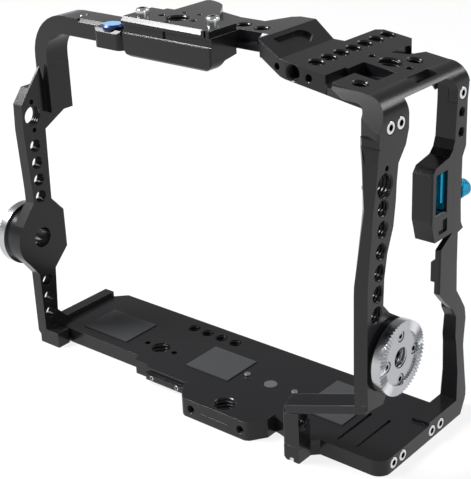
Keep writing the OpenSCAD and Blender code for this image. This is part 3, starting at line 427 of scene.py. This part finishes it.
def solids_of(cad_name):
    """The points of each separate solid in a CAD node, as a list of arrays."""
    shape = bmesh.new()
    shape.from_mesh(frame["nodes"][cad_name].data)
    bmesh.ops.remove_doubles(shape, verts=shape.verts, dist=MERGE_GAP)
    unseen, groups = set(shape.verts), []
    while unseen:
        todo, group = [unseen.pop()], []
        while todo:
            corner = todo.pop()
            group.append(tuple(corner.co))
            for edge in corner.link_edges:
                other = edge.other_vert(corner)
                if other in unseen:
                    unseen.remove(other)
                    todo.append(other)
        groups.append(np.array(group))
    shape.free()
    return groups


def read_screw(points):
    """A screw's place, direction and radii, read from the points of its CAD solid.

    The screw lies along the one of X, Y and Z across which its box is square. The end with the
    wider ring of points is its head, and the direction points out of it.
    """
    size = np.ptp(points, 0)
    axis = int(np.argmin([abs(size[(a + 1) % 3] - size[(a + 2) % 3]) for a in range(3)]))
    middle = (points.min(0) + points.max(0)) / 2
    flat = [k for k in range(3) if k != axis]
    radius = np.hypot(*(points[:, k] - middle[k] for k in flat))
    along = points[:, axis]
    near = SAME_RING
    high_end = radius[along > along.max() - near].max()
    low_end = radius[along < along.min() + near].max()
    sign = 1 if high_end > low_end else -1
    end = along.max() if sign > 0 else along.min()
    depth = (end - along) * sign
    place = middle.copy()
    place[axis] = end
    way = np.zeros(3)
    way[axis] = sign
    full = radius > radius.max() - near
    top = radius[depth < near]
    socket = top[top < 0.75 * top.max()]
    return {
        "place": place, "way": way, "head": radius.max(), "head_deep": depth[full].max(),
        "shoulder": depth[full].min(), "crown": top.max(), "long": depth.max(),
        "shank": radius[depth > depth.max() - near].max(), "key": socket.max() if len(socket) else 0.0,
    }


def screw_arrays(screw, rim, around=48):
    """A socket head screw as points, faces, end caps and a mark for each face that is in the socket, whose
    faces take the dark socket material as painted shade.

    Each ring is a circle or the hexagon r(t) = a / cos(mod(t, 60 deg) - 30 deg), whose half width
    across the flats is a. The rim between the crown and the side is a quarter ellipse.
    """
    side, lift, along = frame_of(screw["way"])
    turn = np.arange(around) * 2 * math.pi / around
    circle = np.ones(around)
    key = (screw["key"] or screw["crown"] * 0.5) * 1.08
    hexagon = math.cos(math.pi / 6) / np.cos(np.mod(turn, math.pi / 3) - math.pi / 6)
    crown = min(screw["crown"], screw["head"] - rim)
    drop = max(screw["shoulder"], rim)
    bend = np.linspace(0, math.pi / 2, 6)
    rings = [
        (key * 0.9 * hexagon, 0.62 * screw["head_deep"]), (key * hexagon, 0.58 * screw["head_deep"]),
        (key * hexagon, 0.18 * MM), (key * 1.06 * hexagon + 0.06 * MM, 0.02 * MM),
    ]
    rim_width = screw["head"] - crown
    rings += [(circle * (crown + rim_width * math.sin(a)), drop * (1 - math.cos(a))) for a in bend]
    rings += [
        (circle * screw["head"], screw["head_deep"]), (circle * screw["shank"], screw["head_deep"]),
        (circle * screw["shank"], screw["long"] - rim), (circle * (screw["shank"] - rim), screw["long"]),
    ]
    points = np.vstack([
        screw["place"] + (far * np.cos(turn))[:, None] * side + (far * np.sin(turn))[:, None] * lift
        - deep * along for far, deep in rings])
    # The rings run down the screw, against its direction, so each face is turned over.
    faces = ring_quads(len(rings), around)[:, [0, 3, 2, 1]]
    caps = [cap[::-1] for cap in ring_caps(len(rings), around)]
    # The faces in the socket are marked for the dark socket material, a painted shade.
    in_socket = 3 * around
    marks = [1] * in_socket + [0] * (len(faces) - in_socket) + [1, 0]
    return points, faces, caps, marks


def knurled_head(middle, radius, start, end, count, depth, chamfer, around=208, rows=40):
    """A thumb screw's head along Y, with diamond knurling between two smooth chamfers.

    The radius at the angle t and the share z of the knurled length is
    R - d * (|sin(n t / 2 + p z)| + |sin(n t / 2 - p z)|) / 2, faded out towards both chamfers.
    """
    turn = np.arange(around) * 2 * math.pi / around
    share = np.linspace(0, 1, rows)
    slant = math.pi * 0.5 * (end - start) / (2 * math.pi * radius / count)
    t, z = np.meshgrid(turn, share)
    ridge = (np.abs(np.sin(count * t / 2 + slant * z)) + np.abs(np.sin(count * t / 2 - slant * z))) / 2
    fade = np.clip(np.minimum(z, 1 - z) / 0.08, 0, 1)
    far = radius - depth * (1 - ridge) * fade
    rows_along = start + chamfer + (end - start - 2 * chamfer) * share
    outline = [(np.full(around, radius - chamfer), start)]
    outline += [(far[k], rows_along[k]) for k in range(rows)]
    outline.append((np.full(around, radius - chamfer), end))
    outline.append((np.full(around, radius * 0.55), end - 0.05 * MM))
    points = np.vstack([
        np.c_[middle[0] + ring * np.cos(turn), np.full(around, y), middle[1] - ring * np.sin(turn)]
        for ring, y in outline])
    return points, ring_quads(len(outline), around), ring_caps(len(outline), around)


def finish_piece(piece, cad_name, angle=35):
    """Hangs a new piece on its CAD node's body in place of that node."""
    piece.data.set_sharp_from_angle(angle=math.radians(angle))
    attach(piece, body_of_node(cad_name))
    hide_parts(cad_name)


def thumb_screw(sizes):
    """The clamp screw: a plain shank and a knurled head, both along Y, measured on its CAD solid."""
    points = np.vstack(solids_of("clamp_screw"))
    low, high = points.min(0), points.max(0)
    middle = ((low[0] + high[0]) / 2, (low[2] + high[2]) / 2)
    radius = np.hypot(points[:, 0] - middle[0], points[:, 2] - middle[1])
    head = radius > 0.6 * radius.max()
    start = points[head][:, 1].min()
    shank_r = radius[points[:, 1] < low[1] + SAME_RING].max()
    around = 32
    turn = np.arange(around) * 2 * math.pi / around
    shank = np.vstack([
        np.c_[middle[0] + shank_r * np.cos(turn), np.full(around, y), middle[1] - shank_r * np.sin(turn)]
        for y in (low[1], start + SHANK_SINK)])
    return joined("clamp_thumb_screw", [
        knurled_head(
            middle, radius.max(), start, high[1], sizes.knurl_turns, sizes.knurl_depth, HEAD_CHAMFER),
        (shank, ring_quads(2, around), ring_caps(2, around))])


def thumb_disc(around=64):
    """The thumb disc: a blue face inside a bevel, on the hub that turns in the block; the bevel, the rim,
    the underside and the hub are painted deep blue as painted shade.

    Its outline is a closed loop of (radius, height) points, turned round the vertical axis. The loop
    leaves the hub's bore open, because the pin stands in it.
    """
    low, high = (np.array(c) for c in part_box("arm_knob"))
    points = np.vstack(solids_of("arm_knob"))
    at = (low + high) / 2
    radius = np.hypot(points[:, 0] - at[0], points[:, 1] - at[1])
    full = radius > radius.max() - SAME_RING
    hub = radius[points[:, 2] < low[2] + SAME_RING]
    under = points[full][:, 2].min()
    edge, top = radius.max(), high[2]
    outline = [
        (hub.min(), low[2]), (hub.max(), low[2]), (hub.max(), under), (edge - DISC_UNDERCUT, under),
        (edge, under + DISC_UNDERCUT), (edge, top - DISC_BEVEL), (edge - DISC_BEVEL, top),
        (edge - DISC_BEVEL - DISC_UNDERCUT, top), (0.02 * MM, top),
        (0.02 * MM, low[2] + 2.9 * MM), (hub.min(), low[2] + 2.7 * MM)]
    turn = np.arange(around) * 2 * math.pi / around
    rings = np.vstack([
        np.c_[at[0] + far * np.cos(turn), at[1] + far * np.sin(turn), np.full(around, z)]
        for far, z in outline])
    count = len(outline)
    # The first six faces of the outline, from the hub round to the bevel, take the deep blue painted shade.
    marks = np.repeat([1] * 6 + [0] * (count - 6), around).tolist()
    return joined("arm_disc", [(rings, ring_quads(count, around, closed=True), [], marks)])


class CAGE_OT_materials(bpy.types.Operator):
    """Make every finish of the cage"""

    bl_idname = "cage.materials"
    bl_label = "Finishes"

    def execute(self, context):
        make_materials(context.scene.cage_sizes, context.scene.cage_colours)
        return {"FINISHED"}


class CAGE_OT_frame(bpy.types.Operator):
    """Finish the machined black pieces"""

    bl_idname = "cage.frame"
    bl_label = "Machined pieces"

    def execute(self, context):
        width = context.scene.cage_sizes.edge_break
        for name in frame["nodes"]:
            if slot_of_node(name) == "black_anodised_aluminium":
                dress(name, width)
        paint("seat_pads")
        return {"FINISHED"}


class CAGE_OT_fasteners(bpy.types.Operator):
    """Finish the screws, the pins and the clip"""

    bl_idname = "cage.fasteners"
    bl_label = "Fasteners"

    def execute(self, context):
        rim = context.scene.cage_sizes.screw_rim
        for name in frame["nodes"]:
            slot = slot_of_node(name)
            if slot not in ("bright_steel", "dull_steel"):
                continue
            if not name.endswith("_screws"):
                dress(name, context.scene.cage_sizes.screw_break)
                continue
            screws = joined(name + "_turned", [
                screw_arrays(read_screw(solid), rim) for solid in solids_of(name)])
            screws.data.materials.append(MATERIALS[slot])
            # The socket material paints the inside of each socket dark as painted shade.
            screws.data.materials.append(MATERIALS["socket"])
            finish_piece(screws, name)
        return {"FINISHED"}


class CAGE_OT_rosettes(bpy.types.Operator):
    """Finish the two toothed rosettes"""

    bl_idname = "cage.rosettes"
    bl_label = "Rosettes"

    def execute(self, context):
        for name in ("left_rosette", "right_rosette"):
            dress(name, context.scene.cage_sizes.screw_break)
        return {"FINISHED"}


class CAGE_OT_threads(bpy.types.Operator):
    """Cut the threads in the threaded holes"""

    bl_idname = "cage.threads"
    bl_label = "Threads"

    def execute(self, context):
        sizes = context.scene.cage_sizes
        parts, silver_parts = [], []
        for mount in RECORD["mounts"]:
            if mount["kind"] not in ("threaded_hole", "bore"):
                continue
            radius = mount["dims"]["r_mm"] * MM
            pitch = sizes.small_pitch if radius < 0.0028 else sizes.quarter_pitch
            pitch = sizes.wide_pitch if radius > 0.0043 else pitch
            in_rosette = mount["kind"] == "bore"
            (silver_parts if in_rosette else parts).append(thread_arrays(
                mount["pos_m"], mount["axis"], radius, pitch,
                min(sizes.thread_depth, radius * 0.2), mount["dims"]["length_mm"] * MM))
        for name, group, slot in (
                ("hole_threads", parts, "black_anodised_aluminium"),
                ("rosette_threads", silver_parts, "silver_aluminium")):
            threads = joined(name, group)
            threads.data.materials.append(MATERIALS[slot])
            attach(threads, "cage")
        return {"FINISHED"}


class CAGE_OT_moving(bpy.types.Operator):
    """Finish the jaw, the clamp screw and the thumb disc"""

    bl_idname = "cage.moving"
    bl_label = "Moving pieces"

    def execute(self, context):
        sizes = context.scene.cage_sizes
        dress("clamp_jaw", sizes.screw_break)
        screw = thumb_screw(sizes)
        screw.data.materials.append(MATERIALS["cyan_anodised_aluminium"])
        finish_piece(screw, "clamp_screw", 50)
        disc = thumb_disc()
        disc.data.materials.append(MATERIALS["blue_anodised_aluminium"])
        # The second material is the deep blue painted shade for the bevel, rim, underside and hub.
        disc.data.materials.append(MATERIALS["blue_bevel"])
        finish_piece(disc, "arm_knob")
        return {"FINISHED"}


# The strength of the ceiling's light and of the floor's own light.
STUDIO_GLOW = 0.3
FLOOR_GLOW = 0.84
FLOOR_REACH = 6.0


def floor_sheet(reach, rings=12, spokes=48):
    """A round floor: rings of points at the radii reach * (k / rings)^2, and a middle point."""
    k = np.arange(1, rings + 1)
    turn = np.arange(spokes) * 2 * math.pi / spokes
    far = reach * (k / rings) ** 2
    ring_points = np.stack([
        far[:, None] * np.cos(turn), far[:, None] * np.sin(turn), np.zeros((rings, spokes))], -1)
    points = np.vstack([[[0, 0, 0]], ring_points.reshape(-1, 3)])
    step = np.arange(spokes)
    following = (step + 1) % spokes
    faces = [[0, 1 + a, 1 + b] for a, b in zip(step, following)]
    for ring in range(rings - 1):
        low, high = 1 + ring * spokes, 1 + (ring + 1) * spokes
        quads = np.stack([low + step, high + step, high + following, low + following], -1)
        faces += quads.tolist()
    return points, faces


def softbox(name, place, target, size, power):
    """A square studio light that looks at the target."""
    data = bpy.data.lights.new(name, "AREA")
    data.shape = "RECTANGLE"
    data.size = size
    data.size_y = size
    data.energy = power
    lamp = bpy.data.objects.new(name, data)
    lamp.location = place
    lamp.rotation_euler = (Vector(target) - Vector(place)).to_track_quat("-Z", "Y").to_euler()
    bpy.context.scene.collection.objects.link(lamp)


# The photograph's view, worked out from its rows of holes and its straight edges.
PHOTO_W, PHOTO_H = 471, 479
VIEW_PLACE = (0.342668, -0.391684, 0.293693)
VIEW_AZIMUTH, VIEW_ELEVATION, VIEW_ROLL = 38.433, 23.801, -1.505
VIEW_FOCAL_PX = 1235.791
VIEW_CENTRE_PX = (282.0, 239.5)


def floor_material(tone):
    """Matt paint with a faint speckle, which also gives off the soft light of a lit studio floor."""
    material, tree, shader = blank_material("matt painted floor")
    place = node(tree, "ShaderNodeTexCoord")
    speck = node(
        tree, "ShaderNodeTexNoise", {"Scale": 400, "Detail": 2}, {"Vector": place.outputs["Object"]})
    tint = node(tree, "ShaderNodeMix", {"data_type": "RGBA"}, {"Factor": speck.outputs["Fac"]})
    tint.inputs[6].default_value = [c * 0.98 for c in tone] + [1]
    tint.inputs[7].default_value = [min(1, c * 1.02) for c in tone] + [1]
    tree.links.new(tint.outputs[2], shader.inputs["Base Color"])
    shader.inputs["Roughness"].default_value = 0.9
    shader.inputs["Emission Color"].default_value = (1, 1, 1, 1)
    shader.inputs["Emission Strength"].default_value = FLOOR_GLOW
    return material


def studio_world():
    """White studio walls that fall off to a dim ceiling."""
    world = bpy.data.worlds.new("studio")
    world.use_nodes = True
    tree = world.node_tree
    back = tree.nodes["Background"]
    back.inputs["Color"].default_value = (1, 1, 1, 1)
    way = node(tree, "ShaderNodeTexCoord")
    lift = node(tree, "ShaderNodeSeparateXYZ", links={"Vector": way.outputs["Generated"]})
    fall = node(tree, "ShaderNodeMapRange", {
        "interpolation_type": "SMOOTHSTEP", "From Min": 0.0, "From Max": 0.3,
        "To Min": 1.0, "To Max": STUDIO_GLOW}, {"Value": lift.outputs["Z"]})
    tree.links.new(fall.outputs["Result"], back.inputs["Strength"])
    return world


def photo_camera():
    """A camera at the photograph's viewing place, with its focal length and its off-centre crop."""
    azimuth, elevation, roll = (math.radians(v) for v in (VIEW_AZIMUTH, VIEW_ELEVATION, VIEW_ROLL))
    back_way = np.array([
        math.sin(azimuth) * math.cos(elevation), -math.cos(azimuth) * math.cos(elevation),
        math.sin(elevation)])
    right = np.array([math.cos(azimuth), math.sin(azimuth), 0])
    up = np.cross(back_way, right)
    right_turned = math.cos(roll) * right + math.sin(roll) * up
    up_turned = -math.sin(roll) * right + math.cos(roll) * up
    data = bpy.data.cameras.new("camera")
    data.sensor_width = 36
    data.sensor_fit = "AUTO"
    data.lens = VIEW_FOCAL_PX / PHOTO_H * data.sensor_width
    data.shift_x = (PHOTO_W / 2 - VIEW_CENTRE_PX[0]) / PHOTO_H
    data.shift_y = (VIEW_CENTRE_PX[1] - PHOTO_H / 2) / PHOTO_H
    data.clip_start = 0.01
    camera = bpy.data.objects.new("camera", data)
    turn = Matrix([right_turned, up_turned, back_way]).transposed().to_4x4()
    camera.matrix_world = Matrix.Translation(VIEW_PLACE) @ turn
    return camera


class CAGE_OT_stage(bpy.types.Operator):
    """Set the floor, the lights and the camera"""

    bl_idname = "cage.stage"
    bl_label = "Stage"

    def execute(self, context):
        scene = context.scene
        points, faces = floor_sheet(FLOOR_REACH)
        points[:, 2] += CAD_BOX[0][2]
        floor = mesh_object("floor", points, faces)
        floor.data.materials.append(floor_material(scene.cage_colours.floor))
        scene.world = studio_world()
        middle = (0, 0, 0.08)
        softbox("key", (-0.66, -0.47, 0.91), middle, 0.42, 30)
        softbox("port_fill", (1.35, -0.25, 0.55), middle, 0.8, 3)
        softbox("bend_light", (0.52, 0.84, 0.9), middle, 0.5, 5)
        camera = photo_camera()
        scene.collection.objects.link(camera)
        scene.camera = camera
        scene.view_settings.view_transform = "Standard"
        return {"FINISHED"}


OPERATORS = (
    CAGE_OT_materials, CAGE_OT_stage, CAGE_OT_frame, CAGE_OT_fasteners, CAGE_OT_rosettes,
    CAGE_OT_threads, CAGE_OT_moving,
)


class CAGE_PT_panel(bpy.types.Panel):
    """The cage's operators and sizes"""

    bl_idname = "CAGE_PT_panel"
    bl_label = "Camera cage"
    bl_space_type = "VIEW_3D"
    bl_region_type = "UI"
    bl_category = "Cage"

    def draw(self, context):
        for operator in OPERATORS:
            self.layout.operator(operator.bl_idname)
        for group in (context.scene.cage_sizes, context.scene.cage_colours):
            for name in group.__annotations__:
                self.layout.prop(group, name)


CLASSES = (CageSizes, CageColours) + OPERATORS + (CAGE_PT_panel,)


def register():
    for item in CLASSES:
        bpy.utils.register_class(item)
    bpy.types.Scene.cage_sizes = PointerProperty(type=CageSizes)
    bpy.types.Scene.cage_colours = PointerProperty(type=CageColours)


def unregister():
    del bpy.types.Scene.cage_colours
    del bpy.types.Scene.cage_sizes
    for item in reversed(CLASSES):
        bpy.utils.unregister_class(item)


def main():
    """Makes the whole scene."""
    register()
    for operator in OPERATORS:
        group, name = operator.bl_idname.split(".")
        getattr(getattr(bpy.ops, group), name)()


if __name__ == "__main__":
    main()
